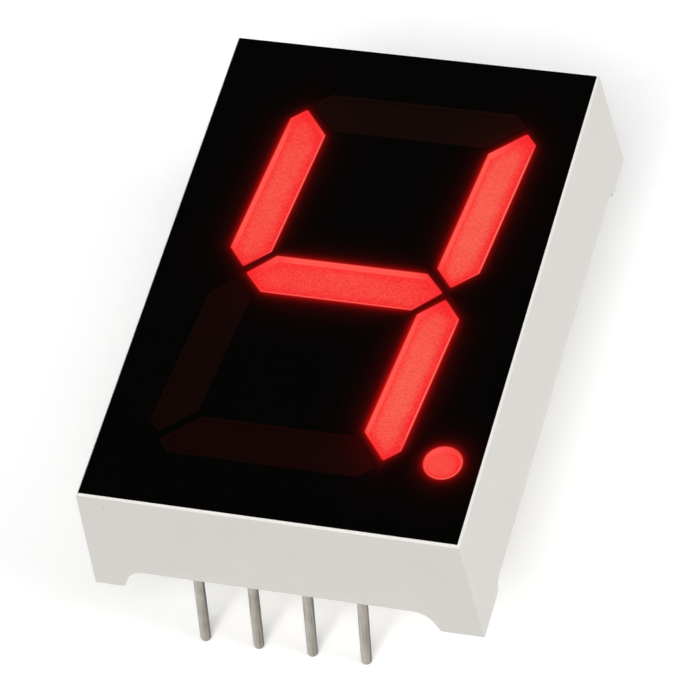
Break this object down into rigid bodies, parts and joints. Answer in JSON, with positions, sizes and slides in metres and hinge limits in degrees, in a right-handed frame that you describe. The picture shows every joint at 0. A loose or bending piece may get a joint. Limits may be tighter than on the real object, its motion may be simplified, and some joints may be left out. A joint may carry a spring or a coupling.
{
  "type": "seven segment display",
  "caption": "LED numeral display with a black face, red light segments, a decimal point, an off-white footed housing and two rows of wire pins.",
  "frame": {"origin": "under the centre of the housing, on the plane that the pin tips stand on", "axes": "+X to the right of the digit, +Y towards the digit's top, +Z out of the display's face; the display lies face up on its pin tips"},
  "size_m": [0.0178, 0.0266, 0.0131],
  "materials": {
    "housing_plastic": "moulded off-white plastic, satin, very fine grain",
    "black_film": "black ink film, satin",
    "diffuser_lit": "milky red diffuser, lit from behind",
    "diffuser_dark": "smoky red diffuser, not lit",
    "board_laminate": "pale epoxy laminate",
    "copper": "etched copper",
    "solder": "bright solder",
    "potting": "poured milky epoxy",
    "led_die": "cut semiconductor",
    "bond_gold": "drawn gold wire",
    "pin_metal": "tinned wire, dull, drawn lengthwise"
  },
  "bodies": {
    "root": {"housing": "housing_plastic", "face_film": "black_film", "segment_a": "diffuser_dark", "segment_b": "diffuser_lit", "segment_c": "diffuser_lit", "segment_d": "diffuser_dark", "segment_e": "diffuser_dark", "segment_f": "diffuser_lit", "segment_g": "diffuser_lit", "decimal_point": "diffuser_lit", "circuit_board": "board_laminate", "copper_tracks": "copper", "solder_joints": "solder", "back_potting": "potting", "led_dies_a": "led_die", "led_dies_b": "led_die", "led_dies_c": "led_die", "led_dies_d": "led_die", "led_dies_e": "led_die", "led_dies_f": "led_die", "led_dies_g": "led_die", "led_die_point": "led_die", "bond_wires_a": "bond_gold", "bond_wires_b": "bond_gold", "bond_wires_c": "bond_gold", "bond_wires_d": "bond_gold", "bond_wires_e": "bond_gold", "bond_wires_f": "bond_gold", "bond_wires_g": "bond_gold", "bond_wire_point": "bond_gold", "front_pin_1": "pin_metal", "front_pin_2": "pin_metal", "front_pin_3": "pin_metal", "front_pin_4": "pin_metal", "rear_pin_1": "pin_metal", "rear_pin_2": "pin_metal", "rear_pin_3": "pin_metal", "rear_pin_4": "pin_metal", "rear_pin_5": "pin_metal"}
  },
  "joints": []
}
